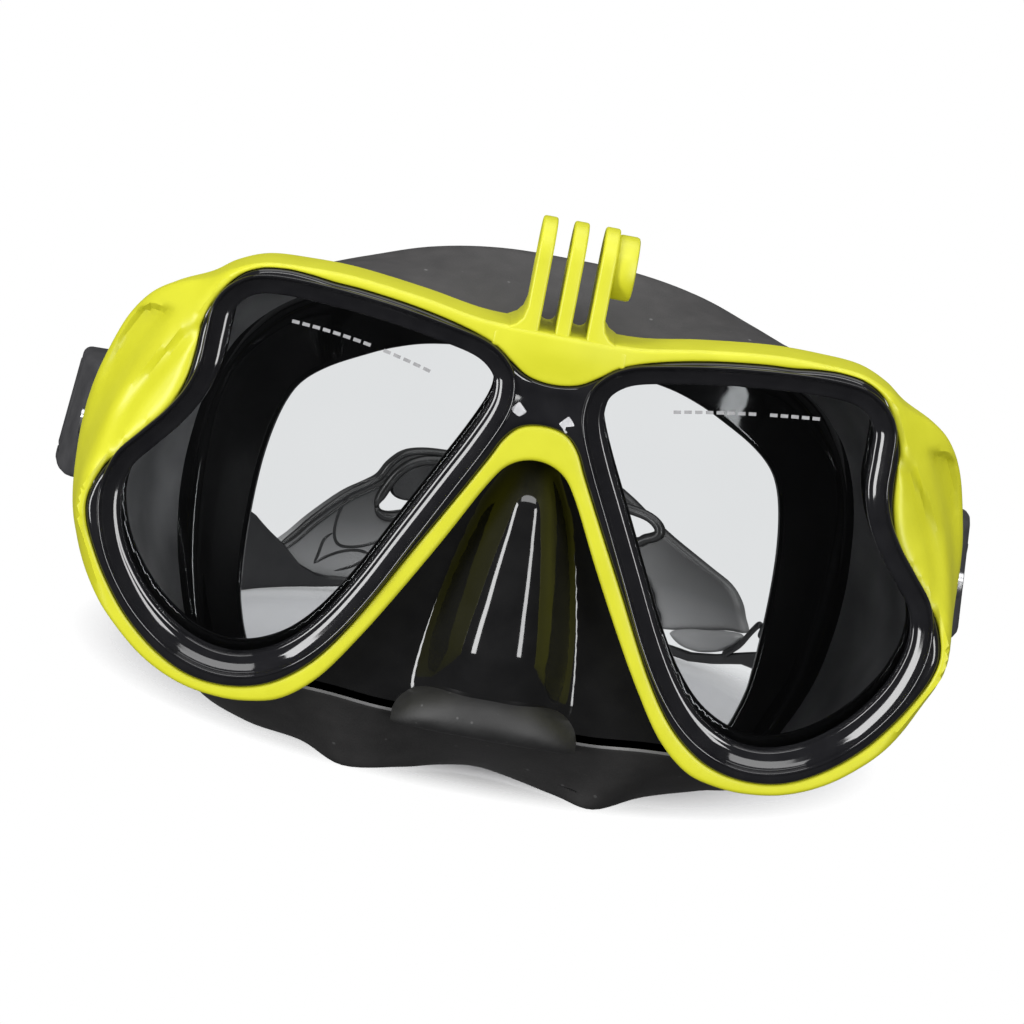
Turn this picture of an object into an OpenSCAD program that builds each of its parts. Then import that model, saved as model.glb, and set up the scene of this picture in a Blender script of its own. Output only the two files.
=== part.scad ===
// Twin-lens diving mask with a camera mount on the frame and a split head strap.
// Millimetres. X runs across the face, Y runs from the lenses back to the strap,
// Z is up from the surface the mask stands on.

/* [Lenses and frame] */
// Y of the lens side of the outer frame, from the lens plane
frame_front = -1.5; // [-3:0.1:0]
// depth of the outer frame's rim
frame_depth = 11.5; // [8:0.5:14]
// how far the inner frame stands in front of the lens plane
bezel_proud = 2.5; // [1:0.1:4]
// play between the inner frame and the outer frame
bezel_play = 0.15; // [0.1:0.05:0.4]
// thickness of each glass lens
lens_thick = 3.4; // [2.5:0.1:5]
// how far the glass reaches behind the inner frame's lip
lens_lip = 2.2; // [1.5:0.1:3]
// smoothing steps between two outline points
outline_steps = 3; // [2:1:6]

/* [Camera mount] */
// radius of the rounded fingers
finger_r = 7.5; // [6:0.1:9]
// thickness of one finger
finger_thick = 3; // [2.5:0.1:3.4]
// distance between the middles of two fingers
finger_pitch = 6.3; // [6:0.1:6.6]
// radius of the cross bore for the clamp screw
cross_bore_r = 2.5; // [2.4:0.05:2.8]
// height of the cross bore over the floor
mount_z = 115.8; // [112:0.1:120]
// Y of the cross bore
mount_y = 5.5; // [3:0.1:8]
// radius of the boss that holds the nut
boss_r = 6.5; // [6:0.1:7.5]
// length of the boss
boss_long = 4.2; // [3.5:0.1:5]
// size of the nut across its flats
nut_flats = 8; // [7.8:0.05:8.2]
// thickness of the nut
nut_thick = 3.8; // [3:0.1:4.5]

/* [Skirt] */
// wall of the soft skirt
skirt_wall = 2.2; // [1.6:0.1:3]
// thickness of the lip that lies on the face
lip_thick = 1.6; // [1.2:0.1:2.4]
// Y of the back of the skirt's lens seat
seat_back = 12.4; // [11:0.1:14]

/* [Strap and buckles] */
// thickness of the strap
strap_thick = 2.2; // [1.6:0.1:3]
// height of the strap where it goes through a buckle
strap_high = 20; // [16:0.5:22]
// X of the swing axle's middle on each side
side_x = 87; // [85:0.5:90]
// Y of the swing axle
swing_y = 38; // [34:0.5:42]
// Z of the swing axle
swing_z = 57.5; // [54:0.5:62]
// distance from the swing axle to the roller
roller_back = 17; // [16:0.5:22]
// radius of the roller
roller_r = 2.9; // [2.4:0.1:3.4]
// outward set of each buckle in degrees
splay = 7; // [0:1:12]
// radius of the swing axle stud
stud_r = 3; // [2.5:0.1:3.5]
// running play round the stud and the pins
running_play = 0.08; // [0.05:0.01:0.1]

/* [Hidden] */
$fn = 64;
eps = 0.01;
back_of_strap = 172.1;
front_of_pocket = -4;
y_mid = (back_of_strap + front_of_pocket) / 2;
frame_back = frame_front + frame_depth;
lens_y = 3.1;
lens_back = lens_y + lens_thick;
cheek_gap = strap_high + 0.4;
cheek_thick = 2.8;
cheek_top = cheek_gap / 2 + cheek_thick;
roller_y = swing_y + roller_back;
strand = roller_r + 0.4 + strap_thick / 2;
cover_x = side_x + strand + strap_thick / 2 + 0.5;
lever_pin_r = 1;
lever_y = roller_y + 1;
lever_x = cover_x + 1.6;

// ---------- outlines, right half, x and z ----------

frame_half = [
  [0, 101.6], [9, 101.6], [17, 101.9], [28, 103.7], [42, 105.3], [52, 105.4],
  [60, 104.9], [66.5, 102.4], [70.6, 98.4], [73, 92], [73.7, 85.4], [74.5, 80],
  [76.3, 74.6], [79.5, 69.6], [83.3, 65], [87.4, 59.6], [89.9, 52.6], [89.3, 46],
  [86.8, 39.8], [83, 33.4], [78, 27.2], [71, 20.8], [63, 16.8], [55, 15.3],
  [48, 15.6], [41.4, 17.6], [34.8, 23.4], [28.4, 32.9], [22.3, 43.4], [15.3, 56.3],
  [9, 68.6], [5.2, 73.6], [0, 75.3]
];

// outer edge of the swept-back wing, right side, x and z
wing_edge = [
  [66, 102], [70, 98.6], [76.5, 95.6], [81.5, 91.5], [85.5, 86], [89, 78],
  [91.4, 69], [92.6, 60], [92.4, 52], [90.8, 45], [87.5, 39.5], [83, 36]
];

bezel_half = [
  [0, 91.2], [5, 92], [9, 94.4], [13, 97.2], [20, 99.6], [30, 101.7], [40, 103],
  [46, 103.4], [51, 104], [56, 104.2], [61, 103.4], [65, 101], [68, 96.6],
  [70.3, 91], [70.7, 85], [71.5, 79], [73.5, 73], [77, 67.7], [81, 63], [85, 57.7],
  [87, 51.7], [86.4, 46.7], [84, 41.2], [80.5, 35.2], [75.5, 28.7], [69, 23],
  [62, 19.2], [55, 18], [48, 18.9], [42, 21.8], [36, 27.3], [30, 36.2], [22, 51.2],
  [15, 64.2], [10, 73.7], [7.5, 78.7], [4.5, 81.7], [0, 82.6]
];

lens_loop = [
  [12, 91.2], [16, 94], [24, 95.8], [34, 97.4], [46, 98.6], [56, 98.9], [61.5, 97.8],
  [64.8, 94.3], [65.4, 89], [65.8, 82], [67.8, 75.5], [71.3, 69.5], [75.7, 64],
  [79.5, 59], [80.8, 53], [79.8, 46.7], [77, 40.2], [72, 33.4], [66, 28.2],
  [60, 25.2], [54, 24.2], [48, 25.4], [42, 29], [36.5, 35.2], [31, 44.2],
  [25, 56.2], [19, 68.2], [14.5, 77.2], [11.6, 84], [11, 88]
];

// skirt rings, right half: x, z and y
ring_front = [
  [0, 99.5, 10.1], [15, 99.7, 10.1], [30, 101.5, 10.1], [44, 103, 10.1],
  [56, 102.5, 10.1], [64, 99, 10.1], [69, 92, 10.1], [72, 83, 10.1], [75, 74, 10.1],
  [76.5, 67, 10.1], [77.5, 60, 10.1], [78, 51, 10.1], [77, 41, 10.1], [73.5, 31, 10.1],
  [66, 21.5, 10.1], [55, 18, 10.1], [44, 17.5, 10.1], [33, 17, 10.1], [22, 16, 10.1],
  [11, 16, 10.1], [0, 16, 10.1]
];
ring_back = [
  [0, 109.9, 40], [14, 109.5, 40], [27, 107.2, 41], [38, 103.2, 42], [49, 98, 44],
  [59, 92, 47], [66.5, 84, 50], [71, 75, 53], [73.5, 66, 55], [74.2, 57, 56],
  [74.2, 48, 56], [73.3, 38, 55], [71, 27, 53], [66.5, 16, 50], [60, 6.5, 46],
  [52, 1.5, 41], [43, 0.1, 35], [33, 0.1, 29], [23, 0.1, 23], [12, 1.5, 26], [0, 3, 30]
];
ring_edge = [
  [0, 88, 37], [12, 88.8, 37], [24, 87.6, 37], [32, 85.2, 37.5], [39, 81.8, 38],
  [45, 78.2, 39], [49.5, 74, 41], [52, 69.5, 42], [53.8, 63, 44], [55, 55, 46],
  [55.5, 46.5, 47], [55.5, 38, 47], [55, 30, 45], [54, 24, 42], [50.4, 16, 37.5],
  [44, 11.5, 34], [37, 9, 30], [29, 9, 26], [21, 11, 23], [11, 15, 23], [0, 17, 24]
];

// strap centre line from the middle of the back to the right roller, x and y
strap_half = [
  [0, 171], [20, 169], [39, 162], [56, 149], [70, 131], [81, 108], [88.5, 84]
];

// ---------- helpers ----------

function mirrored(half) = concat(
  half,
  [for (i = [len(half) - 2 : -1 : 1]) [-half[i][0], each [for (k = [1 : len(half[i]) - 1]) half[i][k]]]]
);

// closed smooth curve through the points
function between(a, b, c, d, t) =
  0.5 * ((2 * b) + (c - a) * t + (2 * a - 5 * b + 4 * c - d) * t * t
  + (3 * b - a - 3 * c + d) * t * t * t);
function smooth(p, steps) = [
  for (i = [0 : len(p) - 1], s = [0 : steps - 1])
    let (n = len(p))
    between(p[(i + n - 1) % n], p[i], p[(i + 1) % n], p[(i + 2) % n], s / steps)
];

// outline moved outward by d; the outlines run clockwise
function outward(p, i) =
  let (n = len(p), a = p[(i + n - 1) % n], b = p[(i + 1) % n])
  let (t = [b[0] - a[0], b[1] - a[1]])
  [-t[1], t[0]] / norm(t);
function grow(p, d) = [
  for (i = [0 : len(p) - 1])
    let (w = outward(p, i))
    [p[i][0] + d * w[0], p[i][1] + d * w[1], each (len(p[i]) > 2 ? [p[i][2]] : [])]
];
function mix(a, b, t) = [for (i = [0 : len(a) - 1]) a[i] * (1 - t) + b[i] * t];
function pushed(p, dy) = [for (q = p) [q[0], q[1], q[2] + dy]];

frame_loop = smooth(mirrored(frame_half), outline_steps);
bezel_loop = smooth(mirrored(bezel_half), outline_steps);
lens_curve = smooth(lens_loop, outline_steps);

// a prism standing on the front plane, from y0 to y1
module prism(loop, y0, y1) {
  translate([0, y1, 0])
    rotate([90, 0, 0])
      linear_extrude(height = y1 - y0)
        polygon(loop);
}

// a prism across the face, drawn in y and z, from x0 to x1
module side_prism(loop, x0, x1) {
  translate([x0, 0, 0])
    rotate([90, 0, 90])
      linear_extrude(height = x1 - x0)
        polygon(loop);
}

module both() {
  children();
  mirror([1, 0, 0]) children();
}

module x_rod(r, x0, x1) {
  translate([x0, 0, 0]) rotate([0, 90, 0]) cylinder(r = r, h = x1 - x0);
}

module at_swing() {
  translate([0, swing_y, swing_z]) children();
}

// moves a buckle piece drawn on the right side to its outward set
module set_out() {
  translate([side_x, swing_y, 0]) rotate([0, 0, -splay]) translate([-side_x, -swing_y, 0]) children();
}

module on_side(side) {
  if (side > 0) children();
  else mirror([1, 0, 0]) children();
}

// ---------- frames and lenses ----------

module wing() {
  // swept-back side of the frame, seen from above
  intersection() {
    prism(concat(wing_edge, [[80, 42], [84, 58], [70, 78], [66, 94]]), frame_front, 30);
    translate([0, 0, 30])
      linear_extrude(height = 80)
        polygon([
          [62, -1.5], [74, -1.2], [80, 1.5], [85, 7], [89, 15], [92.7, 26], [92.7, 27.6],
          [86.5, 27.6], [83.2, 18], [80.6, 12.5], [79.2, 9.9], [62, 9.9]
        ]);
    side_prism([[-2, 36], [8, 37], [29, 46], [29, 70], [14, 96], [-2, 104]], 60, 100);
  }
}

module wing_recess() {
  // open pocket outboard of the wing's diagonal rib
  translate([0, 0, 48])
    linear_extrude(height = 40)
      polygon([[85.2, 5], [88, 10], [91, 17.5], [89.4, 18.5], [86, 12], [83.5, 8]]);
}

module ear() {
  // lug for the swing stud, inboard of the buckle
  difference() {
    union() {
      side_prism([[8, 52], [38, 50.2], [38, 64.8], [8, 68]], 79.6, 83.4);
      at_swing() x_rod(7.4, 79.6, 83.4);
      translate([79.6, 10, 50]) cube([7, 16, 16]);
    }
    at_swing() x_rod(stud_r, 70, 95);
    translate([0, 0, 40]) linear_extrude(height = 40) polygon([[90, 8], [84.5, 27.9], [84.5, 45], [95, 45], [95, 8]]);
  }
}

module mount_zone() {
  // where the moulded frame is handed over to the camera mount's node
  translate([-13, -20, 98.2]) cube([26, 60, 60]);
}

module camera_mount() {
  half = finger_pitch + finger_thick / 2;
  color([0.86, 0.89, 0.14])
  difference() {
    union() {
      intersection() {
        prism(frame_loop, frame_front, frame_back);
        mount_zone();
      }
      translate([0, mount_y, mount_z]) x_rod(finger_r, -half, half);
      translate([-half, mount_y - finger_r, 98.2]) cube([2 * half, 2 * finger_r, mount_z - 98.2]);
      translate([0, mount_y, mount_z]) x_rod(boss_r, half - eps, half + boss_long);
      side_prism([[mount_y - finger_r, 98.2], [12.8, 98.2], [12.8, 101], [mount_y - finger_r, 101]], -13, 13);
    }
    for (s = [-1, 1]) {
      w = finger_pitch - finger_thick;
      x0 = s * finger_pitch / 2 - w / 2;
      side_prism([[-10, 98.4], [20, 101.6], [20, 130], [-10, 130]], x0, x0 + w);
    }
    // seat on top of the skirt
    side_prism([[9.9, 90], [30, 90], [30, 111], [9.9, 101.4]], -20, 20);
    translate([0, mount_y, mount_z]) x_rod(cross_bore_r, -30, 30);
    translate([half + 0.2, mount_y, mount_z])
      rotate([0, 90, 0])
        cylinder(r = nut_flats / 2 / cos(30) + 0.1, h = 10, $fn = 6);
  }
}

module outer_frame() {
  color([0.86, 0.89, 0.14])
    difference() {
      union() {
        prism(frame_loop, frame_front, frame_back);
        both() wing();
        both() ear();
      }
      mount_zone();
      prism(bezel_loop, -20, frame_back + 20);
      both() wing_recess();
      // small gap through each wing beside the rib
      both() prism([[77, 84], [79, 84], [79, 88], [77, 88]], -5, 30);
    }
}

module inner_frame() {
  color([0.03, 0.03, 0.035])
    difference() {
      prism(grow(bezel_loop, -bezel_play), -bezel_proud, 3);
      both() prism(lens_curve, -10, 10);
      // bevel step toward each lens
      both() prism(grow(lens_curve, 2.4), -10, -1);
    }
}

module lens() {
  prism(grow(lens_curve, lens_lip), lens_y, lens_back);
}

module left_lens() {
  color([0.85, 0.9, 0.92, 0.3]) mirror([1, 0, 0]) lens();
}

module right_lens() {
  color([0.85, 0.9, 0.92, 0.3]) lens();
}

// ---------- skirt ----------

function ring(half) = smooth(mirrored(half), 2);

module skirt_shell() {
  f = ring(ring_front);
  b = ring(ring_back);
  e = ring(ring_edge);
  w = skirt_wall;
  rings = [
    f,
    grow(mix(f, b, 0.35), 0.4),
    grow(mix(f, b, 0.7), 0.3),
    b,
    grow(mix(b, e, 0.25), 0),
    mix(b, e, 0.6),
    e,
    pushed(grow(e, 0.4), -lip_thick),
    pushed(mix(b, e, 0.6), -lip_thick - 0.3),
    pushed(mix(b, e, 0.3), -w - 0.8),
    grow(mix(f, b, 0.68), -w),
    grow(mix(f, b, 0.35), -w),
    grow(f, -w)
  ];
  n = len(f);
  m = len(rings);
  pts = [for (r = rings, q = r) [q[0], q[2], q[1]]];
  tris = [
    for (j = [0 : m - 1], i = [0 : n - 1])
      let (a = j * n + i, b2 = j * n + (i + 1) % n)
      let (c = ((j + 1) % m) * n + (i + 1) % n, d = ((j + 1) % m) * n + i)
      each [[a, c, b2], [a, d, c]]
  ];
  polyhedron(points = pts, faces = tris, convexity = 8);
}

nose_hole = [
  [-12, 24], [-12.4, 32], [-10.6, 46], [-7.6, 58], [-4, 64],
  [4, 64], [7.6, 58], [10.6, 46], [12.4, 32], [12, 24]
];

module skirt() {
  color([0.07, 0.07, 0.075]) {
    difference() {
      union() {
        skirt_shell();
        prism([for (q = grow(ring(ring_front), -0.8)) [q[0], q[1]]], 10.3, seat_back);
        prism(grow(bezel_loop, -0.5), lens_y, 10.9);
      }
      both() prism(grow(lens_curve, lens_lip + 0.1), lens_y - 1, lens_back + 0.1);
      both() prism(grow(lens_curve, -0.6), 0, seat_back + 0.6);
      prism(nose_hole, 0, 20);
    }
  }
}

module pocket_body(d) {
  hull() {
    translate([0, 10 + d / 3, 63]) sphere(r = 7 - d, $fn = 28);
    translate([0, 8.2 + d / 3, 46]) sphere(r = 11 - d, $fn = 28);
    translate([0, 9 + d / 3, 29.5]) sphere(r = 13 - d, $fn = 28);
    translate([0, 16, 30]) sphere(r = 12 - d, $fn = 28);
    translate([0, 15, 62]) sphere(r = 7 - d, $fn = 28);
  }
}

module nose_pocket() {
  color([0.03, 0.03, 0.035]) {
    difference() {
      union() {
        pocket_body(0);
        // thick crescent under the pocket
        prism([[-18, 17.5], [-12, 21.8], [-5, 23.6], [5, 23.6], [12, 21.8], [18, 17.5],
          [12, 16.8], [-12, 16.8]], 2, 10);
      }
      pocket_body(skirt_wall);
      prism([[-40, 0], [40, 0], [40, 90], [-40, 90]], 10, 60);
    }
  }
}

// ---------- camera mount nut ----------

module mount_nut() {
  x0 = finger_pitch + finger_thick / 2 + 0.3;
  color([0.72, 0.73, 0.75])
    translate([0, mount_y, mount_z])
      difference() {
        translate([x0, 0, 0]) rotate([0, 90, 0]) cylinder(r = nut_flats / 2 / cos(30), h = nut_thick, $fn = 6);
        x_rod(2.1, x0 - 1, x0 + 10);
      }
}

// ---------- buckles ----------

module swing_stud(side) {
  color([0.7, 0.71, 0.73])
    on_side(side)
      at_swing() {
        x_rod(stud_r, 78.6, 93.6);
        x_rod(5, 77.4, 79.6);
      }
}

module left_swing_stud() {
  swing_stud(-1);
}

module right_swing_stud() {
  swing_stud(1);
}

// side view of a buckle, y and z round the axle
module cheek_plan(x0) {
  polygon([
    [x0, swing_y - 6], [x0, roller_y + 7.5], [lever_x - 2, roller_y + 7.5],
    [lever_x + 1.6, lever_y + 2], [lever_x + 1.6, swing_y - 4], [lever_x - 1, swing_y - 8],
    [x0 + 1.5, swing_y - 8]
  ]);
}

module buckle(side) {
  side_shape = [
    [swing_y - 9, swing_z - 3], [swing_y - 6.2, swing_z - 7], [swing_y + 2, swing_z - 11.4],
    [roller_y - 6, swing_z - cheek_top], [roller_y + 6, swing_z - cheek_top],
    [roller_y + 8, swing_z - cheek_top + 3], [roller_y + 8, swing_z + cheek_top - 3],
    [roller_y + 6, swing_z + cheek_top], [roller_y - 6, swing_z + cheek_top],
    [swing_y + 2, swing_z + 11.4], [swing_y - 6.2, swing_z + 7], [swing_y - 9, swing_z + 3]
  ];
  inner = side_x - strand - strap_thick / 2 - 0.6;
  color([0.2, 0.2, 0.21])
    on_side(side)
      difference() {
        set_out()
          intersection() {
            difference() {
              translate([0, 0, swing_z - cheek_top]) linear_extrude(height = 2 * cheek_top) cheek_plan(84.2);
              // room for the strap and the roller
              translate([side_x - 20, roller_y - strand - strap_thick / 2 - 0.5, swing_z - cheek_gap / 2])
                cube([cover_x - side_x + 20, 40, cheek_gap]);
              // room for the release lever
              translate([cover_x - eps, lever_y - 2.2, swing_z - cheek_gap / 2]) cube([20, 30, cheek_gap]);
              // roller journals
              translate([side_x, roller_y, 0]) cylinder(r = 1.4 + running_play, h = 120);
              translate([lever_x, lever_y, 0]) cylinder(r = lever_pin_r, h = 120);
            }
            side_prism(side_shape, 60, 110);
          }
        // clear of the frame's lug while the strap swings
        at_swing() x_rod(30, 70, 83.9);
        // the eye runs on the stud
        at_swing() x_rod(stud_r + running_play, 70, 120);
      }
}

module left_buckle() {
  buckle(-1);
}

module right_buckle() {
  buckle(1);
}

module roller(side) {
  color([0.62, 0.63, 0.65])
    on_side(side)
      set_out()
        translate([side_x, roller_y, swing_z]) {
          translate([0, 0, -cheek_gap / 2 + 0.4]) cylinder(r = roller_r, h = cheek_gap - 0.8);
          translate([0, 0, -cheek_top + 0.3]) cylinder(r = 1.4, h = 2 * cheek_top - 0.6);
        }
}

module left_roller() {
  roller(-1);
}

module right_roller() {
  roller(1);
}

module release_lever(side) {
  color([0.33, 0.33, 0.34])
    on_side(side)
      set_out()
        translate([0, 0, swing_z - cheek_gap / 2 + 0.4])
          difference() {
            linear_extrude(height = cheek_gap - 0.8)
              polygon([
                [cover_x + 0.3, lever_y - 1.4], [cover_x + 0.3, lever_y + 9],
                [cover_x + 1.4, lever_y + 15], [cover_x + 3.4, lever_y + 15],
                [lever_x + 1.6, lever_y + 8], [lever_x + 1.6, lever_y - 0.6], [lever_x + 0.8, lever_y - 1.6]
              ]);
            translate([lever_x, lever_y, -1]) cylinder(r = lever_pin_r + running_play, h = 40);
            // pocket for the spring
            translate([cover_x - 5, lever_y + 3, cheek_gap / 2 - 4.4]) cube([6.3, 5, 8]);
          }
}

module left_release_lever() {
  release_lever(-1);
}

module right_release_lever() {
  release_lever(1);
}

module lever_pin(side) {
  color([0.75, 0.76, 0.78])
    on_side(side)
      set_out()
        translate([lever_x, lever_y, swing_z - cheek_top]) cylinder(r = lever_pin_r, h = 2 * cheek_top);
}

module left_lever_pin() {
  lever_pin(-1);
}

module right_lever_pin() {
  lever_pin(1);
}

module lever_spring(side) {
  // small leaf in the lever's pocket
  color([0.75, 0.76, 0.78])
    on_side(side)
      set_out()
        translate([cover_x + 0.5, lever_y + 3.3, swing_z - 3.6]) cube([0.4, 4.4, 7.2]);
}

module left_lever_spring() {
  lever_spring(-1);
}

module right_lever_spring() {
  lever_spring(1);
}

// ---------- strap ----------

// where a strand of the strap leaves the buckle, on the outer or inner side
function out_of_buckle(dx, dy) = [
  side_x + cos(splay) * dx + sin(splay) * (roller_back + dy),
  swing_y - sin(splay) * dx + cos(splay) * (roller_back + dy)
];
function open_smooth(p, steps) = concat(
  [
    for (i = [0 : len(p) - 2], s = [0 : steps - 1])
      between(p[max(i - 1, 0)], p[i], p[i + 1], p[min(i + 2, len(p) - 1)], s / steps)
  ],
  [p[len(p) - 1]]
);
function side_of(p, i) =
  let (a = p[max(i - 1, 0)], b = p[min(i + 1, len(p) - 1)])
  let (t = (b - a) / norm(b - a))
  [-t[1], t[0]];
function ribbon(p, w) = concat(
  [for (i = [0 : len(p) - 1]) p[i] + side_of(p, i) * w / 2],
  [for (i = [len(p) - 1 : -1 : 0]) p[i] - side_of(p, i) * w / 2]
);

main_run = open_smooth(concat(strap_half, [out_of_buckle(strand, 9), out_of_buckle(strand, -0.4)]), 4);
tail_run = open_smooth([
  out_of_buckle(-strand, -0.4), out_of_buckle(-strand, 9), [84.6, 80], [78.5, 104], [71, 121], [65.5, 130]
], 4);

module strap_wall() {
  both() {
    linear_extrude(height = 90) polygon(ribbon(main_run, strap_thick));
    linear_extrude(height = 90) polygon(ribbon(tail_run, strap_thick));
    // the turn round the roller
    linear_extrude(height = 90)
      set_out_flat()
        difference() {
          circle(r = strand + strap_thick / 2);
          circle(r = strand - strap_thick / 2);
          translate([-20, 0]) square([40, 20]);
        }
  }
}

module set_out_flat() {
  translate(out_of_buckle(0, 0)) rotate(-splay) children();
}

module head_strap() {
  lo = swing_z - strap_high / 2;
  hi = swing_z + strap_high / 2;
  color([0.09, 0.09, 0.095])
    difference() {
      intersection() {
        strap_wall();
        side_prism([
          [40, lo], [66, lo], [80, 41], [102, 26], [122, 10], [136, 2], [146, 0], [180, 0],
          [180, 36.8], [168, 36.8], [166, 36], [164, 33.2], [160, 28.6], [154, 24],
          [149, 22], [142, 22], [130, 27], [112, 42], [92, 56], [78, 64], [66, hi], [40, hi]
        ], -120, 120);
      }
      // the split in the back pad
      prism([
        [-29, 21], [-28, 24.5], [-24, 30.5], [-17, 33], [0, 33.2], [20, 32.2], [29, 31],
        [35, 29.6], [36.5, 28.4], [35.5, 27], [31, 25], [10, 24.2], [-8, 24.2],
        [-17, 22.5], [-24, 20.5], [-27, 19.8]
      ], 150, 190);
    }
}

module strap_keeper(side) {
  // soft loop that holds the strap's tail against the strap
  color([0.05, 0.05, 0.055])
    on_side(side)
      translate([86.1, 84, 49.3])
        rotate([0, 0, 16.8])
          rotate([-32, 0, 0])
            difference() {
              translate([-4.9, -3, -11.3]) cube([9.8, 6, 22.6]);
              translate([-3.5, -4, -9.9]) cube([7, 8, 19.8]);
            }
}

module left_strap_keeper() {
  strap_keeper(-1);
}

module right_strap_keeper() {
  strap_keeper(1);
}

translate([0, -y_mid, 0]) {
  outer_frame();
  camera_mount();
  inner_frame();
  left_lens();
  right_lens();
  skirt();
  nose_pocket();
  mount_nut();
  left_swing_stud();
  right_swing_stud();
  left_buckle();
  right_buckle();
  left_roller();
  right_roller();
  left_release_lever();
  right_release_lever();
  left_lever_pin();
  right_lever_pin();
  left_lever_spring();
  right_lever_spring();
  head_strap();
  left_strap_keeper();
  right_strap_keeper();
}
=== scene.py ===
import math

import bmesh
import bpy
import numpy as np
from mathutils import Matrix, Vector
from mathutils.geometry import delaunay_2d_cdt

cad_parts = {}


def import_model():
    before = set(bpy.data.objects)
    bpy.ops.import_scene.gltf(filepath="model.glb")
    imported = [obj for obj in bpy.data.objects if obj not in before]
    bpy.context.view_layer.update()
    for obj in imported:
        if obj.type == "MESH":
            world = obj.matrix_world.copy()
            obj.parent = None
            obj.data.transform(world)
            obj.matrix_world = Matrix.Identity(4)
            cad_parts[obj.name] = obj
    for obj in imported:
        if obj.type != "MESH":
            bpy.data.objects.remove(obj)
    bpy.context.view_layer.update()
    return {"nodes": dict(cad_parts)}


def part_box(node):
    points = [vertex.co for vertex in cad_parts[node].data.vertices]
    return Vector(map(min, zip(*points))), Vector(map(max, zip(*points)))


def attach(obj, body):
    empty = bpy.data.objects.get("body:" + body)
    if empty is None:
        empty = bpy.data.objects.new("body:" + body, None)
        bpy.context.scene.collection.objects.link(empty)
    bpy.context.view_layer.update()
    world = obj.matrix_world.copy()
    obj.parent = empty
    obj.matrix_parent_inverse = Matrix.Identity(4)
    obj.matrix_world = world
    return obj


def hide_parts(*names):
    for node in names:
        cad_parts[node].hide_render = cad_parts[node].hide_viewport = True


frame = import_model()

MM = 0.001
LENS_Y = 3.1  # lens front face behind the lens plane, mm
Y_LENS_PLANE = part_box("left_lens")[0].y - LENS_Y * MM


# ---------- measures and curves, in millimetres: x, z on the face, y back ----------

def world(x, y, z):
    return (x * MM, y * MM + Y_LENS_PLANE, z * MM)


def mirrored(half):
    """A closed loop from its right half, which runs from the top middle to the bottom middle."""
    other = [(-p[0],) + tuple(p[1:]) for p in half[-2:0:-1]]
    return [tuple(p) for p in half] + other


def curve_point(a, b, c, d, t):
    """The point at t, from 0 at b to 1 at c, of the smooth curve through a, b, c and d."""
    return 0.5 * (2 * b + (c - a) * t + (2 * a - 5 * b + 4 * c - d) * t * t
                  + (3 * b - a - 3 * c + d) * t ** 3)


def smooth_loop(points, steps):
    """A closed smooth curve through the points."""
    p = np.array(points, float)
    n = len(p)
    return np.array([curve_point(p[i - 1], p[i], p[(i + 1) % n], p[(i + 2) % n], s / steps)
                     for i in range(n) for s in range(steps)])


def smooth_path(points, steps):
    """An open smooth curve through the points, or rings filled in between the given ones."""
    p = np.array(points, float)
    n = len(p)
    out = [curve_point(p[max(i - 1, 0)], p[i], p[i + 1], p[min(i + 2, n - 1)], s / steps)
           for i in range(n - 1) for s in range(steps)]
    return np.array(out + [p[-1]])


def grow(loop, d):
    """A clockwise loop moved outward by d."""
    t = np.roll(loop, -1, 0)[:, :2] - np.roll(loop, 1, 0)[:, :2]
    t /= np.linalg.norm(t, axis=1)[:, None]
    out = loop.copy()
    out[:, 0] -= t[:, 1] * d
    out[:, 1] += t[:, 0] * d
    return out


def distance(points, line, closed=True):
    """Distance from each point to a polyline."""
    a = line
    b = np.roll(line, -1, 0) if closed else line[1:]
    if not closed:
        a = line[:-1]
    best = np.full(len(points), 1e9)
    for k in range(0, len(points), 4000):
        p = points[k:k + 4000, None, :]
        ab = (b - a)[None]
        t = np.clip(((p - a[None]) * ab).sum(2) / np.maximum((ab * ab).sum(2), 1e-12), 0, 1)
        d = np.linalg.norm(p - a[None] - t[..., None] * ab, axis=2)
        best[k:k + 4000] = d.min(1)
    return best


def inside(points, loop):
    """Which of the points lie in the loop."""
    x, z = points[:, 0], points[:, 1]
    odd = np.zeros(len(points), bool)
    for (x1, z1), (x2, z2) in zip(loop, np.roll(loop, -1, 0)):
        if z1 == z2:
            continue
        cross = ((z1 > z) != (z2 > z)) & (x < (x2 - x1) * (z - z1) / (z2 - z1) + x1)
        odd ^= cross
    return odd


def ramp(v, a, b):
    """0 below a, 1 above b, and smooth between."""
    t = np.clip((v - a) / (b - a), 0, 1)
    return t * t * (3 - 2 * t)


def round_edge(d, r):
    """How far a rounded edge of radius r has fallen, d inside the edge."""
    q = np.clip(r - d, 0, r)
    return r - np.sqrt(np.maximum(r * r - q * q, 0))


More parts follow.
